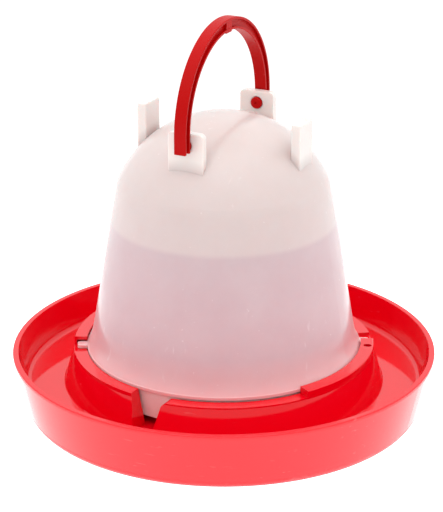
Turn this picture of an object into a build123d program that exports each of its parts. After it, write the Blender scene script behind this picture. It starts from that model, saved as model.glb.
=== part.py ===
from build123d import *
import math
import os

# Siphon drinker for poultry: a tray with a raised collar, a bell-shaped reservoir that
# stands in the collar, and a bail handle that swings on two lugs of the reservoir.
# Millimetres. +Z up, origin on the ground on the tray's axis. The handle's hinge axis
# runs along Y, and the two plain feet of the reservoir lie on X.
# A bearing is measured about Z from -Y towards +X.

# Tray
TRAY_RIM_RADIUS = 130.0
TRAY_RIM_TOP = 37.3
TRAY_RIM_WIDTH = 3.5
TRAY_RIM_ROUND = 0.8
TRAY_LIP_HEIGHT = 2.0
TRAY_LIP_STEP = 1.0
TRAY_LIP_SLOPE = 0.5
TRAY_WALL = 2.7
INNER_WALL_SLOPE = 0.2
TRAY_BASE_RADIUS = 117.4
TRAY_BASE_ROUND = 5.0
FLOOR_TOP = 16.0
FLOOR_THICKNESS = 2.4
FOOT_RING_INNER = 114.0
TROUGH_ROUND = 4.0

# Collar, moulded up from the tray's floor and hollow underneath
COLLAR_INNER = 84.5
COLLAR_INNER_FOOT = 84.2
COLLAR_OUTER = 92.3
COLLAR_MIDDLE = 95.5
COLLAR_FOOT = 98.3
COLLAR_FOOT_Z = 16.6
COLLAR_SHOULDER_Z = 36.0
COLLAR_LOW = 36.9
COLLAR_MID = 38.2
COLLAR_HIGH = 41.3
COLLAR_WALL = 2.4
GROOVE_TOP = 34.0
GROOVE_SHOULDER = 1.1
GROOVE_DRAFT = 0.5
EDGE_ROUND = 0.5

# Bearings round the collar, in degrees; everything repeats half a turn further on
OUTLET_BEARING = -3.2
STEP_BEARING = 58.0
POCKET_BEARING = 98.0
ENTRY_BEARING = 115.3
ENTRY_END_BEARING = 125.4
DETENT_BEARING = 108.1
GROOVE_MARGIN = 9.5

# Water outlet, a tapering notch through the collar
OUTLET_FOOT_WIDTH = 11.9
OUTLET_SLOPE = 0.21
OUTLET_ROUND = 4.0

# Bayonet: tongues on the reservoir drop into the entries and turn in under the roofs
ENTRY_FLOOR = 36.3
POCKET_TOP = 39.2
POCKET_RADIUS = 90.9
DETENT_RADIUS = 88.9
DETENT_LENGTH = 5.0
DETENT_WIDTH = 3.8
TONGUE_BEARING = 117.9
TONGUE_WIDTH = 6.8
TONGUE_RADIUS = 90.2
TONGUE_BOTTOM = 36.6
TONGUE_THICKNESS = 2.0
TONGUE_ROUND = 2.2

# Reservoir
SHELL = 1.8
SKIRT_BOTTOM = 20.7
SKIRT_RADIUS = 81.9
SKIRT_TOP_RADIUS = 82.6
FLANGE_BOTTOM = 37.4
FLANGE_TOP = 39.9
FLANGE_RADIUS = 84.1
FLANGE_EDGE = 0.35
CONE_FOOT_Z = 52.0
CONE_FOOT_RADIUS = 79.9
FLARE_BULGE = 1.35
CONE_SLOPE = 0.175
CAP_RADIUS = 69.8
CAP_TOP = 185.5
SHOULDER_RADIUS = 19.7

# Lugs on the reservoir's cap: two plain feet and two that carry the handle
LUG_TOP = 187.4
LUG_ROOT = 150.0
FOOT_INNER = 47.6
FOOT_THICKNESS = 6.0
FOOT_WIDTH = 18.0
EAR_INNER = 45.7
EAR_THICKNESS = 4.3
EAR_WIDTH = 22.4
EAR_CORNER = 3.0
LUG_EDGE = 0.8

# Handle and its hinge
PIN_HEIGHT = 180.0
PIN_RADIUS = 3.6
PIN_CLEARANCE = 0.1
PIN_CHAMFER = 0.5
PIN_PROUD = 1.3
PIN_DIMPLE = 0.9
PIN_DIMPLE_DEPTH = 0.5
ARCH_CENTRE_Z = 186.0
ARCH_RADIUS = 57.3
HANDLE_LEG_INNER = 50.8
HANDLE_APEX_DEPTH = 7.3
HANDLE_WIDTH = 7.4
HANDLE_FLANGE = 1.5
HANDLE_GROOVE = 1.8
HANDLE_END_Z = 176.2
HANDLE_EDGE = 0.4
RIB_LENGTH = 7.0
RIB_DROP = 0.9
RIB_INSET = 0.2

HALF_TURN = 180.0
FULL_TURN = 360.0
CUT_MARGIN = 1.0
REACH = 3.0
ABOVE = 60.0


def outline(points):
    """A closed face in the XZ plane with straight sides; points are (radius, height)."""
    return make_face(Plane.XZ * Polyline(*points, close=True))


def ring_sector(face, start, end):
    """Turn a face about Z from one bearing to another."""
    arc = end - start
    return Rot(0, 0, start - 90) * revolve(face, Axis.Z, arc)


def rectangle(inner, outer, low, high):
    return outline([(inner, low), (outer, low), (outer, high), (inner, high)])


def at_bearing(bearing, shape):
    """Place a shape that was drawn with its outward side along +X."""
    return Rot(0, 0, bearing - 90) * shape


def tray_section():
    """Half section of the tray and its collar, the collar drawn at its full height.

    The floor is raised over a hollow that is open below, inside the foot ring."""
    rim_inner = TRAY_RIM_RADIUS - TRAY_RIM_WIDTH
    lip_bottom = TRAY_RIM_TOP - TRAY_LIP_HEIGHT
    wall_top = TRAY_RIM_RADIUS - TRAY_LIP_STEP
    wall_foot = TRAY_BASE_RADIUS + TRAY_BASE_ROUND
    under_floor = FLOOR_TOP - FLOOR_THICKNESS
    outer_slope = (wall_top - wall_foot) / (lip_bottom - TRAY_BASE_ROUND)
    hollow_foot = wall_foot - TRAY_WALL
    hollow_top = hollow_foot + outer_slope * (under_floor - TRAY_BASE_ROUND)
    inner_foot = rim_inner - INNER_WALL_SLOPE * (TRAY_RIM_TOP - FLOOR_TOP - TROUGH_ROUND)
    floor_edge = inner_foot - TROUGH_ROUND
    round_mid = TRAY_BASE_ROUND * math.sin(math.radians(45))
    trough_mid = TROUGH_ROUND * math.sin(math.radians(45))
    edges = Polyline(
        (0, FLOOR_TOP),
        (0, under_floor),
        (hollow_top, under_floor),
        (hollow_foot, TRAY_BASE_ROUND),
        (FOOT_RING_INNER, 0),
        (TRAY_BASE_RADIUS, 0),
    )
    edges += ThreePointArc(
        (TRAY_BASE_RADIUS, 0),
        (TRAY_BASE_RADIUS + round_mid, TRAY_BASE_ROUND - round_mid),
        (wall_foot, TRAY_BASE_ROUND),
    )
    edges += Polyline(
        (wall_foot, TRAY_BASE_ROUND),
        (wall_top, lip_bottom - TRAY_LIP_SLOPE),
        (TRAY_RIM_RADIUS, lip_bottom),
        (TRAY_RIM_RADIUS, TRAY_RIM_TOP),
        (rim_inner, TRAY_RIM_TOP),
        (inner_foot, FLOOR_TOP + TROUGH_ROUND),
    )
    edges += ThreePointArc(
        (inner_foot, FLOOR_TOP + TROUGH_ROUND),
        (floor_edge + trough_mid, FLOOR_TOP + TROUGH_ROUND - trough_mid),
        (floor_edge, FLOOR_TOP),
    )
    edges += Polyline(
        (floor_edge, FLOOR_TOP),
        (COLLAR_FOOT + COLLAR_FOOT_Z - FLOOR_TOP, FLOOR_TOP),
        (COLLAR_FOOT, COLLAR_FOOT_Z),
    )
    edges += ThreePointArc(
        (COLLAR_FOOT, COLLAR_FOOT_Z),
        (COLLAR_MIDDLE, (COLLAR_FOOT_Z + COLLAR_SHOULDER_Z) / 2),
        (COLLAR_OUTER, COLLAR_SHOULDER_Z),
    )
    edges += Polyline(
        (COLLAR_OUTER, COLLAR_SHOULDER_Z),
        (COLLAR_OUTER, COLLAR_HIGH - EDGE_ROUND),
        (COLLAR_OUTER - EDGE_ROUND, COLLAR_HIGH),
        (COLLAR_INNER, COLLAR_HIGH),
        (COLLAR_INNER_FOOT, FLOOR_TOP),
        (0, FLOOR_TOP),
    )
    section = make_face(Plane.XZ * edges)
    outer_corner = section.vertices().sort_by_distance((TRAY_RIM_RADIUS, 0, TRAY_RIM_TOP))[0]
    section = fillet(outer_corner, TRAY_RIM_ROUND)
    inner_corner = section.vertices().sort_by_distance((rim_inner, 0, TRAY_RIM_TOP))[0]
    return fillet(inner_corner, TRAY_RIM_ROUND / 2)


def collar_groove():
    """The hollow under the collar, open below, which keeps its walls one thickness."""
    inner = COLLAR_INNER + COLLAR_WALL
    outer_top = COLLAR_OUTER + GROOVE_SHOULDER - COLLAR_WALL
    outer_mid = COLLAR_MIDDLE - COLLAR_WALL
    outer_foot = COLLAR_FOOT - COLLAR_WALL
    middle = (COLLAR_FOOT_Z + COLLAR_SHOULDER_Z) / 2
    section = outline(
        [
            (inner - GROOVE_DRAFT, -CUT_MARGIN),
            (inner, GROOVE_TOP),
            (outer_top, GROOVE_TOP),
            (outer_mid, middle),
            (outer_foot, COLLAR_FOOT_Z),
            (outer_foot, -CUT_MARGIN),
        ]
    )
    start = OUTLET_BEARING + GROOVE_MARGIN
    end = OUTLET_BEARING + HALF_TURN - GROOVE_MARGIN
    return ring_sector(section, start, end)


def outlet_cutter():
    """A notch whose sides lean in towards the floor, with one top corner rounded off."""
    half_foot = OUTLET_FOOT_WIDTH / 2
    corner_z = COLLAR_LOW - OUTLET_ROUND

    def half_width(height):
        return half_foot + OUTLET_SLOPE * (height - FLOOR_TOP)

    corner = half_width(corner_z)
    bend = OUTLET_ROUND * (1 - math.sin(math.radians(45)))
    edges = Polyline(
        (corner + OUTLET_ROUND, COLLAR_LOW),
        (corner + OUTLET_ROUND, ABOVE),
        (-half_width(COLLAR_MID), ABOVE),
        (-half_width(COLLAR_MID), COLLAR_MID),
        (-half_foot, FLOOR_TOP),
        (half_foot, FLOOR_TOP),
        (corner, corner_z),
    )
    edges += ThreePointArc(
        (corner, corner_z),
        (corner + bend, COLLAR_LOW - bend),
        (corner + OUTLET_ROUND, COLLAR_LOW),
    )
    face = make_face(Plane.YZ * edges)
    length = COLLAR_FOOT - COLLAR_INNER_FOOT + 2 * REACH
    cutter = extrude(Pos(COLLAR_INNER_FOOT - REACH, 0, 0) * face, length, dir=(1, 0, 0))
    return at_bearing(OUTLET_BEARING, cutter)


def detent_cutter():
    """The short slot through one of the two roofs, over the turned-in tongue."""
    slot = extrude(SlotOverall(DETENT_LENGTH, DETENT_WIDTH), ABOVE)
    return at_bearing(DETENT_BEARING, Pos(DETENT_RADIUS, 0, POCKET_TOP - CUT_MARGIN) * slot)


def collar_cutters():
    """What is cut from half of the collar: its lower stretches, entry, pocket and outlet."""
    low = rectangle(COLLAR_INNER_FOOT - REACH, COLLAR_OUTER + REACH, COLLAR_LOW, ABOVE)
    mid = rectangle(COLLAR_INNER_FOOT - REACH, COLLAR_OUTER + REACH, COLLAR_MID, ABOVE)
    entry = rectangle(COLLAR_INNER_FOOT - REACH, COLLAR_OUTER + REACH, ENTRY_FLOOR, ABOVE)
    pocket = rectangle(COLLAR_INNER_FOOT - REACH, POCKET_RADIUS, ENTRY_FLOOR, POCKET_TOP)
    next_outlet = OUTLET_BEARING + HALF_TURN
    return [
        ring_sector(low, OUTLET_BEARING, STEP_BEARING),
        ring_sector(mid, ENTRY_END_BEARING - CUT_MARGIN, next_outlet),
        ring_sector(entry, ENTRY_BEARING, ENTRY_END_BEARING),
        ring_sector(pocket, POCKET_BEARING, ENTRY_BEARING + CUT_MARGIN),
        outlet_cutter(),
        collar_groove(),
    ]


def make_tray():
    tray = revolve(tray_section(), Axis.Z, FULL_TURN)
    for turn in (0, HALF_TURN):
        for cutter in collar_cutters():
            tray -= Rot(0, 0, turn) * cutter
    return tray - detent_cutter()


def bell(inset, foot_points):
    """Solid of revolution: points up from the foot, then a cone, a shoulder and a cap.

    The inset moves the cone, shoulder and cap inwards by that much."""
    cap_centre = CAP_TOP - CAP_RADIUS
    cap = CAP_RADIUS - inset
    lean = math.atan(CONE_SLOPE)
    foot = CONE_FOOT_RADIUS - inset / math.cos(lean)
    axis_reach = foot + CONE_SLOPE * (CONE_FOOT_Z - cap_centre)
    a = 1 + CONE_SLOPE**2
    b = -2 * CONE_SLOPE * axis_reach
    c = axis_reach**2 - cap**2
    rise = (-b + math.sqrt(b * b - 4 * a * c)) / (2 * a)
    corner = (axis_reach - CONE_SLOPE * rise, cap_centre + rise)
    half = math.atan2(corner[0], rise) / 2
    on_cap = (cap * math.sin(half), cap_centre + cap * math.cos(half))
    top = (0, CAP_TOP - inset)
    edges = foot_points + Line((foot, CONE_FOOT_Z), corner)
    edges += ThreePointArc(corner, on_cap, top)
    edges += Line(top, (0, SKIRT_BOTTOM))
    face = make_face(Plane.XZ * edges)
    shoulder = face.vertices().sort_by_distance((corner[0], 0, corner[1]))[0]
    face = fillet(shoulder, SHOULDER_RADIUS - inset)
    return revolve(face, Axis.Z, FULL_TURN)


def reservoir_outside():
    flare_start = (FLANGE_RADIUS - FLANGE_EDGE, FLANGE_TOP)
    flare_mid = (CONE_FOOT_RADIUS + FLARE_BULGE, (CONE_FOOT_Z + FLANGE_TOP) / 2)
    foot = Polyline(
        (0, SKIRT_BOTTOM),
        (SKIRT_RADIUS, SKIRT_BOTTOM),
        (SKIRT_TOP_RADIUS, FLANGE_BOTTOM),
        (FLANGE_RADIUS - FLANGE_EDGE, FLANGE_BOTTOM),
        (FLANGE_RADIUS, FLANGE_BOTTOM + FLANGE_EDGE),
        (FLANGE_RADIUS, FLANGE_TOP - FLANGE_EDGE),
        flare_start,
    )
    foot += ThreePointArc(flare_start, flare_mid, (CONE_FOOT_RADIUS, CONE_FOOT_Z))
    return bell(0, foot)


def reservoir_inside():
    lean = math.atan(CONE_SLOPE)
    foot_radius = CONE_FOOT_RADIUS - SHELL / math.cos(lean)
    foot = Polyline(
        (0, SKIRT_BOTTOM),
        (SKIRT_RADIUS - SHELL, SKIRT_BOTTOM),
        (SKIRT_TOP_RADIUS - SHELL, FLANGE_TOP),
        (foot_radius, CONE_FOOT_Z),
    )
    return bell(SHELL, foot)


def lug(inner, thickness, width):
    """An upright plate whose outward side faces +X, standing on the reservoir's cap."""
    height = LUG_TOP - LUG_ROOT
    plate = Box(thickness, width, height, align=(Align.MIN, Align.CENTER, Align.MIN))
    return Pos(inner, 0, LUG_ROOT) * plate


def make_foot():
    foot = lug(FOOT_INNER, FOOT_THICKNESS, FOOT_WIDTH)
    uprights = foot.edges().filter_by(Axis.Z)
    foot = fillet(uprights, LUG_EDGE)
    top = foot.faces().sort_by(Axis.Z)[-1]
    return fillet(top.edges(), LUG_EDGE / 2)


def make_ear():
    ear = lug(EAR_INNER, EAR_THICKNESS, EAR_WIDTH)
    corners = ear.edges().filter_by(Axis.X).group_by(Axis.Z)[-1]
    ear = fillet(corners, EAR_CORNER)
    hole = PIN_RADIUS + PIN_CLEARANCE
    bore = Cylinder(hole, 3 * EAR_THICKNESS, rotation=(0, 90, 0))
    middle = EAR_INNER + EAR_THICKNESS / 2
    ear -= Pos(middle, 0, PIN_HEIGHT) * bore
    for face_x, lean in ((EAR_INNER, -90), (EAR_INNER + EAR_THICKNESS, 90)):
        mouth = Cone(hole, hole + PIN_CHAMFER, PIN_CHAMFER, align=(Align.CENTER, Align.CENTER, Align.MAX))
        ear -= Pos(face_x, 0, PIN_HEIGHT) * (Rot(0, lean, 0) * mouth)
    return ear


def make_tongue():
    """A flat bayonet tongue reaching out from the flange, its outer corners rounded."""
    start = SKIRT_TOP_RADIUS - SHELL / 2
    length = TONGUE_RADIUS - start
    blank = Box(length, TONGUE_WIDTH, TONGUE_THICKNESS, align=(Align.MIN, Align.CENTER, Align.MIN))
    tongue = Pos(start, 0, TONGUE_BOTTOM) * blank
    corners = tongue.edges().filter_by(Axis.Z).group_by(Axis.X)[-1]
    return fillet(corners, TONGUE_ROUND)


def make_reservoir():
    reservoir = reservoir_outside()
    for turn in (0, HALF_TURN):
        reservoir += Rot(0, 0, turn) * make_foot()
        reservoir += Rot(0, 0, turn + 90) * make_ear()
        reservoir += at_bearing(TONGUE_BEARING + turn, make_tongue())
    return reservoir - reservoir_inside()


def bail_outline(outer_inset, inner_inset, end_inset):
    """The bail's face in the YZ plane between its outer and inner arch, each moved in."""
    outer = ARCH_RADIUS - outer_inset
    inner = HANDLE_LEG_INNER + inner_inset
    outer_top = ARCH_CENTRE_Z + outer
    inner_top = ARCH_CENTRE_Z + ARCH_RADIUS - HANDLE_APEX_DEPTH + inner_inset
    end = HANDLE_END_Z + end_inset
    edges = Polyline((-inner, ARCH_CENTRE_Z), (-inner, end), (-outer, end), (-outer, ARCH_CENTRE_Z))
    edges += ThreePointArc((-outer, ARCH_CENTRE_Z), (0, outer_top), (outer, ARCH_CENTRE_Z))
    edges += Polyline((outer, ARCH_CENTRE_Z), (outer, end), (inner, end), (inner, ARCH_CENTRE_Z))
    edges += ThreePointArc((inner, ARCH_CENTRE_Z), (0, inner_top), (-inner, ARCH_CENTRE_Z))
    return make_face(Plane.YZ * edges)


def make_pin():
    """A hinge pin that reaches in from the leg at +Y, with a dimple in its end."""
    pin_end = EAR_INNER - PIN_PROUD
    length = HANDLE_LEG_INNER + HANDLE_FLANGE - pin_end
    pin = Cylinder(PIN_RADIUS, length, align=(Align.CENTER, Align.CENTER, Align.MIN))
    pin = chamfer(pin.edges().group_by(Axis.Z)[0], PIN_CHAMFER)
    pin -= Cylinder(PIN_DIMPLE, 2 * PIN_DIMPLE_DEPTH)
    return Pos(0, pin_end, PIN_HEIGHT) * (Rot(-90, 0, 0) * pin)


def make_handle():
    """The bail: an I-shaped section with a groove along each side, and a rib at its apex."""
    half = HANDLE_WIDTH / 2
    handle = extrude(bail_outline(0, 0, 0), half, both=True)
    handle = fillet(handle.edges().filter_by(Plane.YZ), HANDLE_EDGE)
    hollow = bail_outline(HANDLE_FLANGE, HANDLE_FLANGE, -CUT_MARGIN)
    web = half - HANDLE_GROOVE
    groove = Pos(web, 0, 0) * extrude(hollow, HANDLE_GROOVE + CUT_MARGIN, dir=(1, 0, 0))
    rib_bottom = ARCH_CENTRE_Z + ARCH_RADIUS - HANDLE_APEX_DEPTH - RIB_DROP
    rib_height = HANDLE_APEX_DEPTH + RIB_DROP - HANDLE_FLANGE / 2
    rib_width = HANDLE_WIDTH - 2 * RIB_INSET
    low = (Align.CENTER, Align.CENTER, Align.MIN)
    rib = Pos(0, 0, rib_bottom) * Box(rib_width, RIB_LENGTH, rib_height, align=low)
    for turn in (0, HALF_TURN):
        handle -= Rot(0, 0, turn) * groove
    for turn in (0, HALF_TURN):
        handle += Rot(0, 0, turn) * make_pin()
    return handle + rib


os.makedirs("parts", exist_ok=True)
export_step(make_tray(), "parts/drinking_tray.step")
export_step(make_reservoir(), "parts/reservoir_dome.step")
export_step(make_handle(), "parts/carry_handle.step")
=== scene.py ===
import math

import bpy
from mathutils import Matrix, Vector

# Looks of a siphon drinker for poultry: glossy red tray, milky reservoir, satin red handle.
# Metres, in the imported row's frame: +Z up, the origin on the ground on the tray's axis.

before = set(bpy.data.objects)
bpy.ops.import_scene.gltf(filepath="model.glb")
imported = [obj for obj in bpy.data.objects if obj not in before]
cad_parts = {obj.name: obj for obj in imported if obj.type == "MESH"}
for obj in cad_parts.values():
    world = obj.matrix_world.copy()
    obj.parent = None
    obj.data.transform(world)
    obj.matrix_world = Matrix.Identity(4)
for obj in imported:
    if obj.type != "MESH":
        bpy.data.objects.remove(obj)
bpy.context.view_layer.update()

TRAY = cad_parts["drinking_tray"]
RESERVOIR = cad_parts["reservoir_dome"]
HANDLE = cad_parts["carry_handle"]

WHITE = (1.0, 1.0, 1.0, 1.0)

# Camera
VIEW_AZIMUTH = 26.072
VIEW_PITCH = 21.095
CAMERA_PLACE = (0.48165, -0.98752, 0.51901)
LENS = 136.11
SENSOR = 36.0
CLIP_NEAR = 0.05
CLIP_FAR = 50.0

# Studio: a table lit from below, brightest round the object, in a white room whose wall
# is a little dimmer on the side that the camera stands on
BACK_LIGHT = 1.0
FRONT_LIGHT = 0.78
FRONT_FACING = -0.75
BACK_FACING = -0.1
OVERHEAD_LIGHT = 1.6
OVERHEAD_START = 0.3
OVERHEAD_FULL = 0.8
TABLE_TONE = (0.1, 0.1, 0.1, 1.0)
TABLE_ROUGHNESS = 0.9
TABLE_NEAR = 1.9
TABLE_FAR = 1.0
TABLE_NEAR_RADIUS = 0.19
TABLE_FAR_RADIUS = 0.32
FLOOR_HALF = 8.0
FLOOR_DROP = 0.0002
LAMP_PLACE = (0.15, -0.35, 1.5)
LAMP_AIM = (0.0, 0.0, 0.1)
LAMP_SIZE = 0.9
LAMP_POWER = 2.0

# Both plastics: their index of refraction, and where the noise that patterns them is taken
# to start and end
PLASTIC_IOR = 1.5
CLOUD_LOW = 0.3
CLOUD_HIGH = 0.75
SCUFF_LOW = 0.66
SCUFF_HIGH = 0.74
SCUFF_TINT = 0.22
GATE_SCALE = 26.0
GATE_LOW = 0.50
GATE_HIGH = 0.68

# Red plastic
RED_CLOUD_SCALE = 14.0
RED_GRAIN_SCALE = 900.0
RED_SCUFF_SCALE = 260.0
RED_SCUFF_STRETCH = (0.25, 1.0, 2.0)
RED_TONE_LOW = 0.35
RED_TONE_HIGH = 0.7
RED_GLOSS_LEAST = 0.75
RED_GLOSS_MOST = 1.3
RED_SCUFF_ROUGHNESS = 0.14
RED_SCUFF_DEPTH = 0.8
RED_BUMP = 0.10
TRAY_BODY = (0.79, 0.0, 0.009)
TRAY_DEEP = (0.75, 0.0, 0.007)
TRAY_RUBBED = (0.9, 0.2, 0.2)
TRAY_ROUGHNESS = 0.07
TRAY_SPECULAR = 0.5
TRAY_GRAIN = 0.00005
HANDLE_BODY = (0.50, 0.002, 0.002)
HANDLE_DEEP = (0.44, 0.001, 0.001)
HANDLE_RUBBED = (0.75, 0.2, 0.2)
HANDLE_ROUGHNESS = 0.34
HANDLE_SPECULAR = 0.1
HANDLE_GRAIN = 0.00012

# Tones of the milky reservoir, from its top down, with painted shade below the water line and
# painted pink light at the foot and on the skirt
DRY_HIGH = (0.64, 0.53, 0.505)
DRY_LOW = (0.63, 0.505, 0.495)
# Painted shade: the darker, mauve-pink tones below the water line stand in for the water inside
# dimming the light through the shell, pinker lower down with painted pink light from the red
# tray
WATER_SHADE_HIGH = (0.56, 0.41, 0.435)
WATER_SHADE_LOW = (0.60, 0.375, 0.41)
# Painted light: the pinker, brighter foot tone stands in for the red tray's light falling on
# the reservoir's base
FOOT_RED_GLOW = (0.82, 0.43, 0.44)
# Painted light: the pale pink skirt tone stands in for the red tray's light on the skirt inside
# its collar
SKIRT_RED_GLOW = (0.93, 0.71, 0.70)
LUG_TONE = (0.80, 0.75, 0.72)
MOTTLE = (0.86, 0.80, 0.79)
PALE_MARK = (0.93, 0.90, 0.89)

# The heights between which each of those tones changes
DRY_HEIGHTS = (0.12, 0.185)
WATER_SHADE_HEIGHTS = (0.055, 0.118)
FOOT_GLOW_HEIGHTS = (0.038, 0.060)
SKIRT_GLOW_HEIGHTS = (0.0364, 0.0374)
WATER_HEIGHTS = (0.1187, 0.1229)
WATER_WAVE = 0.0012

# The cap's sphere, which the lugs stand out of above a height
CAP_CENTRE = (0.0, 0.0, 0.1157)
LUG_DISTANCES = (0.0700, 0.0750)
LUG_HEIGHTS = (0.150, 0.155)

# The milky plastic's pattern and finish
MILKY_CLOUD_SCALE = 16.0
MILKY_GRAIN_SCALE = 700.0
MILKY_SCUFF_SCALE = 240.0
MILKY_SCUFF_STRETCH = (1.0, 1.0, 0.2)
SPECK_SCALE = 420.0
SPECK_LOW = 0.76
SPECK_HIGH = 0.80
SPECK_TINT = 0.22
MOTTLE_SCALE = 46.0
MOTTLE_LOW = 0.3
MOTTLE_HIGH = 0.7
MOTTLE_TINT = 0.09
MILKY_ROUGH_LEAST = 0.42
MILKY_ROUGH_MOST = 0.54
MILKY_BUMP = 0.08
MILKY_GRAIN = 0.00012
MILKY_FINISH = {
    "IOR": PLASTIC_IOR,
    "Coat Weight": 0.85,
    "Coat Roughness": 0.14,
    "Sheen Weight": 0.30,
    "Sheen Roughness": 0.25,
    "Subsurface Weight": 0.70,
    "Subsurface Radius": (1.0, 0.55, 0.5),
    "Subsurface Scale": 0.004,
}


def material(name):
    """A new node material; returns it with its tree and its Principled shader."""
    made = bpy.data.materials.new(name)
    made.use_nodes = True
    tree = made.node_tree
    return made, tree, tree.nodes["Principled BSDF"]


def noise(tree, vector, scale, detail=3.0, rough=0.5, distortion=0.0):
    node = tree.nodes.new("ShaderNodeTexNoise")
    node.inputs["Scale"].default_value = scale
    node.inputs["Detail"].default_value = detail
    node.inputs["Roughness"].default_value = rough
    node.inputs["Distortion"].default_value = distortion
    tree.links.new(vector, node.inputs["Vector"])
    return node.outputs["Fac"]


def spread(tree, value, low, high, to_low, to_high, smooth=False):
    """Map a value's range onto another, clamped."""
    node = tree.nodes.new("ShaderNodeMapRange")
    node.interpolation_type = "SMOOTHSTEP" if smooth else "LINEAR"
    node.inputs["From Min"].default_value = low
    node.inputs["From Max"].default_value = high
    node.inputs["To Min"].default_value = to_low
    node.inputs["To Max"].default_value = to_high
    tree.links.new(value, node.inputs["Value"])
    return node.outputs["Result"]


def blend_colours(tree, factor, first, second):
    """Mix two colours; each is an output socket or an RGB tuple."""
    node = tree.nodes.new("ShaderNodeMix")
    node.data_type = "RGBA"
    for socket, colour in ((node.inputs[6], first), (node.inputs[7], second)):
        if isinstance(colour, tuple):
            socket.default_value = (*colour, 1.0)
        else:
            tree.links.new(colour, socket)
    tree.links.new(factor, node.inputs[0])
    return node.outputs[2]


def math_node(tree, operation, first, second):
    """A Math node; each input is a number or an output socket."""
    node = tree.nodes.new("ShaderNodeMath")
    node.operation = operation
    for socket, value in ((node.inputs[0], first), (node.inputs[1], second)):
        if isinstance(value, (int, float)):
            socket.default_value = value
        else:
            tree.links.new(value, socket)
    return node.outputs[0]


def vector_value(tree, operation, vector, other=None):
    """A number worked out from a vector: its length, or against a second, constant one."""
    node = tree.nodes.new("ShaderNodeVectorMath")
    node.operation = operation
    tree.links.new(vector, node.inputs[0])
    if other is not None:
        node.inputs[1].default_value = other
    return node.outputs["Value"]


def height_of(tree, vector):
    split = tree.nodes.new("ShaderNodeSeparateXYZ")
    tree.links.new(vector, split.inputs[0])
    return split.outputs["Z"]


def object_place(tree):
    """Object coordinates, which stay with the piece when it moves."""
    return tree.nodes.new("ShaderNodeTexCoord").outputs["Object"]


def stretched(tree, coordinates, factors):
    node = tree.nodes.new("ShaderNodeMapping")
    node.inputs["Scale"].default_value = factors
    tree.links.new(coordinates, node.inputs["Vector"])
    return node.outputs["Vector"]


def scuffs(tree, coordinates, factors, scale):
    """Short fine scuffs, 1 on a scuff and 0 beside it, drawn out along one direction."""
    long_noise = noise(
        tree, stretched(tree, coordinates, factors), scale, detail=2.0, distortion=0.4
    )
    line = spread(tree, long_noise, SCUFF_LOW, SCUFF_HIGH, 0.0, 1.0)
    patches = noise(tree, coordinates, GATE_SCALE, detail=2.0)
    gate = spread(tree, patches, GATE_LOW, GATE_HIGH, 0.0, 1.0)
    return math_node(tree, "MULTIPLY", line, gate)


def bump(tree, height, shader, strength, distance):
    node = tree.nodes.new("ShaderNodeBump")
    node.inputs["Strength"].default_value = strength
    node.inputs["Distance"].default_value = distance
    tree.links.new(height, node.inputs["Height"])
    tree.links.new(node.outputs["Normal"], shader.inputs["Normal"])


def red_plastic(name, body, deep, rubbed, roughness, specular, grain_depth):
    """Injection-moulded red plastic: flow clouds, fine grain and a few rubbed scuffs."""
    made, tree, shader = material(name)
    coordinates = object_place(tree)
    clouds = noise(tree, coordinates, RED_CLOUD_SCALE)
    grain = noise(tree, coordinates, RED_GRAIN_SCALE, rough=0.6)
    rubs = scuffs(tree, coordinates, RED_SCUFF_STRETCH, RED_SCUFF_SCALE)
    cloudy = spread(tree, clouds, RED_TONE_LOW, RED_TONE_HIGH, 0.0, 1.0)
    tone = blend_colours(tree, cloudy, deep, body)
    tone = blend_colours(tree, math_node(tree, "MULTIPLY", rubs, SCUFF_TINT), tone, rubbed)
    tree.links.new(tone, shader.inputs["Base Color"])
    least = roughness * RED_GLOSS_LEAST
    most = roughness * RED_GLOSS_MOST
    rough = spread(tree, clouds, CLOUD_LOW, CLOUD_HIGH, least, most)
    rubbed_rough = math_node(tree, "MULTIPLY", rubs, RED_SCUFF_ROUGHNESS)
    tree.links.new(math_node(tree, "ADD", rough, rubbed_rough), shader.inputs["Roughness"])
    shader.inputs["IOR"].default_value = PLASTIC_IOR
    shader.inputs["Specular IOR Level"].default_value = specular
    worn = math_node(tree, "MULTIPLY", rubs, RED_SCUFF_DEPTH)
    bump(tree, math_node(tree, "SUBTRACT", grain, worn), shader, RED_BUMP, grain_depth)
    return made


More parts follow.
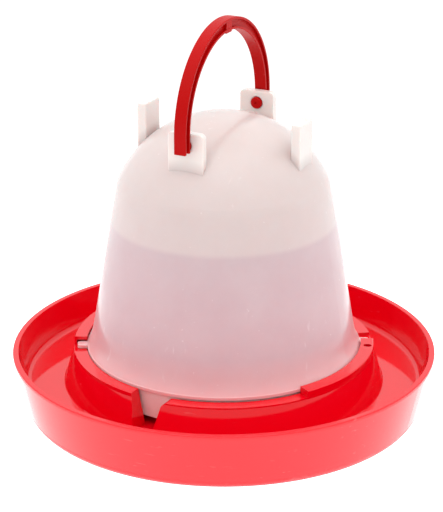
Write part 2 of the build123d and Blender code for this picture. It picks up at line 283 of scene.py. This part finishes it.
def milky_tone(tree, coordinates, clouds, rubs):
    """Paler above the water; below it darker and mauve-pink, painted shade of the water inside,
    pinker lower down; pinker at the foot and on the skirt, painted pink light from the red
    tray; palest on the lugs.
    """
    height = height_of(tree, coordinates)
    wavy = math_node(tree, "ADD", height, math_node(tree, "MULTIPLY", clouds, WATER_WAVE))
    # Painted shade of the water inside: 1 below the wavy water line, 0 above it
    water_shade_mask = spread(tree, wavy, *WATER_HEIGHTS, 1.0, 0.0, True)
    dry = blend_colours(tree, spread(tree, height, *DRY_HEIGHTS, 0.0, 1.0), DRY_LOW, DRY_HIGH)
    # Painted shade tones of the water, pinker lower down with painted pink light from the red
    # tray
    water_shade = blend_colours(tree, spread(tree, height, *WATER_SHADE_HEIGHTS, 0.0, 1.0), WATER_SHADE_LOW, WATER_SHADE_HIGH)
    # Painted pink light from the red tray, strongest at the foot
    water_shade = blend_colours(tree, spread(tree, height, *FOOT_GLOW_HEIGHTS, 1.0, 0.0), water_shade, FOOT_RED_GLOW)
    tone = blend_colours(tree, water_shade_mask, dry, water_shade)
    blotches = noise(tree, coordinates, MOTTLE_SCALE, detail=4.0, rough=0.6)
    mottle = spread(tree, blotches, MOTTLE_LOW, MOTTLE_HIGH, 0.0, MOTTLE_TINT)
    tone = blend_colours(tree, mottle, tone, MOTTLE)
    tone = blend_colours(tree, math_node(tree, "MULTIPLY", rubs, SCUFF_TINT), tone, PALE_MARK)
    dots = noise(tree, coordinates, SPECK_SCALE, detail=1.0)
    specks = spread(tree, dots, SPECK_LOW, SPECK_HIGH, 0.0, 1.0)
    tone = blend_colours(tree, math_node(tree, "MULTIPLY", specks, SPECK_TINT), tone, PALE_MARK)
    from_cap = vector_value(tree, "DISTANCE", coordinates, CAP_CENTRE)
    proud = spread(tree, from_cap, *LUG_DISTANCES, 0.0, 1.0)
    upper = spread(tree, height, *LUG_HEIGHTS, 0.0, 1.0)
    tone = blend_colours(tree, math_node(tree, "MULTIPLY", proud, upper), tone, LUG_TONE)
    # Painted pink light on the skirt, below the top of the tray's collar
    return blend_colours(tree, spread(tree, height, *SKIRT_GLOW_HEIGHTS, 1.0, 0.0), tone, SKIRT_RED_GLOW)


def milky_plastic(name):
    """Milky polypropylene with a soft gloss, which lets some light through."""
    made, tree, shader = material(name)
    coordinates = object_place(tree)
    clouds = noise(tree, coordinates, MILKY_CLOUD_SCALE)
    grain = noise(tree, coordinates, MILKY_GRAIN_SCALE, rough=0.6)
    rubs = scuffs(tree, coordinates, MILKY_SCUFF_STRETCH, MILKY_SCUFF_SCALE)
    tree.links.new(milky_tone(tree, coordinates, clouds, rubs), shader.inputs["Base Color"])
    rough = spread(tree, clouds, CLOUD_LOW, CLOUD_HIGH, MILKY_ROUGH_LEAST, MILKY_ROUGH_MOST)
    tree.links.new(rough, shader.inputs["Roughness"])
    for socket, value in MILKY_FINISH.items():
        shader.inputs[socket].default_value = value
    bump(tree, grain, shader, MILKY_BUMP, MILKY_GRAIN)
    return made


def dress(node, made):
    """Give a CAD node one material all over."""
    node.data.materials.clear()
    node.data.materials.append(made)
    for face in node.data.polygons:
        face.material_index = 0


def make_lamp():
    """A soft square lamp above the object."""
    light = bpy.data.lights.new("top_light", "AREA")
    light.shape = "SQUARE"
    light.size = LAMP_SIZE
    light.energy = LAMP_POWER
    lamp = bpy.data.objects.new("top_light", light)
    lamp.location = LAMP_PLACE
    towards = Vector(LAMP_AIM) - Vector(LAMP_PLACE)
    lamp.rotation_euler = towards.to_track_quat("-Z", "Y").to_euler()
    bpy.context.scene.collection.objects.link(lamp)


def make_floor():
    """A pale table, lit from below near the object so that nothing on it throws a shadow."""
    corners = [(-1, -1), (1, -1), (1, 1), (-1, 1)]
    mesh = bpy.data.meshes.new("studio_floor")
    points = [(x * FLOOR_HALF, y * FLOOR_HALF, -FLOOR_DROP) for x, y in corners]
    mesh.from_pydata(points, [], [(0, 1, 2, 3)])
    floor = bpy.data.objects.new("studio_floor", mesh)
    bpy.context.scene.collection.objects.link(floor)
    made, tree, shader = material("studio_table")
    away = vector_value(tree, "LENGTH", object_place(tree))
    glow = spread(
        tree, away, TABLE_NEAR_RADIUS, TABLE_FAR_RADIUS, TABLE_NEAR, TABLE_FAR, True
    )
    shader.inputs["Base Color"].default_value = TABLE_TONE
    shader.inputs["Roughness"].default_value = TABLE_ROUGHNESS
    shader.inputs["Specular IOR Level"].default_value = 0.0
    shader.inputs["Emission Color"].default_value = WHITE
    tree.links.new(glow, shader.inputs["Emission Strength"])
    mesh.materials.append(made)


def make_world():
    """A white room, brighter overhead and a little dimmer behind the camera."""
    world = bpy.data.worlds.new("studio")
    world.use_nodes = True
    tree = world.node_tree
    background = tree.nodes["Background"]
    background.inputs["Color"].default_value = WHITE
    direction = tree.nodes.new("ShaderNodeTexCoord").outputs["Generated"]
    angle = math.radians(VIEW_AZIMUTH)
    back = (-math.sin(angle), math.cos(angle), 0.0)
    facing = vector_value(tree, "DOT_PRODUCT", direction, back)
    wall = spread(tree, facing, FRONT_FACING, BACK_FACING, FRONT_LIGHT, BACK_LIGHT, True)
    upward = height_of(tree, direction)
    overhead = spread(tree, upward, OVERHEAD_START, OVERHEAD_FULL, 0.0, 1.0, True)
    extra = math_node(tree, "SUBTRACT", OVERHEAD_LIGHT, wall)
    light = math_node(tree, "ADD", wall, math_node(tree, "MULTIPLY", overhead, extra))
    tree.links.new(light, background.inputs["Strength"])
    bpy.context.scene.world = world


def make_camera():
    data = bpy.data.cameras.new("camera")
    data.lens = LENS
    data.sensor_width = SENSOR
    data.sensor_fit = "AUTO"
    data.clip_start = CLIP_NEAR
    data.clip_end = CLIP_FAR
    camera = bpy.data.objects.new("camera", data)
    camera.location = CAMERA_PLACE
    camera.rotation_euler = (math.radians(90 - VIEW_PITCH), 0, math.radians(VIEW_AZIMUTH))
    bpy.context.scene.collection.objects.link(camera)
    bpy.context.scene.camera = camera


make_camera()
make_world()
make_floor()
make_lamp()

tray_red = red_plastic(
    "red_tray_plastic",
    TRAY_BODY,
    TRAY_DEEP,
    TRAY_RUBBED,
    TRAY_ROUGHNESS,
    TRAY_SPECULAR,
    TRAY_GRAIN,
)
handle_red = red_plastic(
    "red_handle_plastic",
    HANDLE_BODY,
    HANDLE_DEEP,
    HANDLE_RUBBED,
    HANDLE_ROUGHNESS,
    HANDLE_SPECULAR,
    HANDLE_GRAIN,
)
dress(TRAY, tray_red)
dress(HANDLE, handle_red)
dress(RESERVOIR, milky_plastic("milky_reservoir_plastic"))

bpy.context.scene.view_settings.view_transform = "Standard"
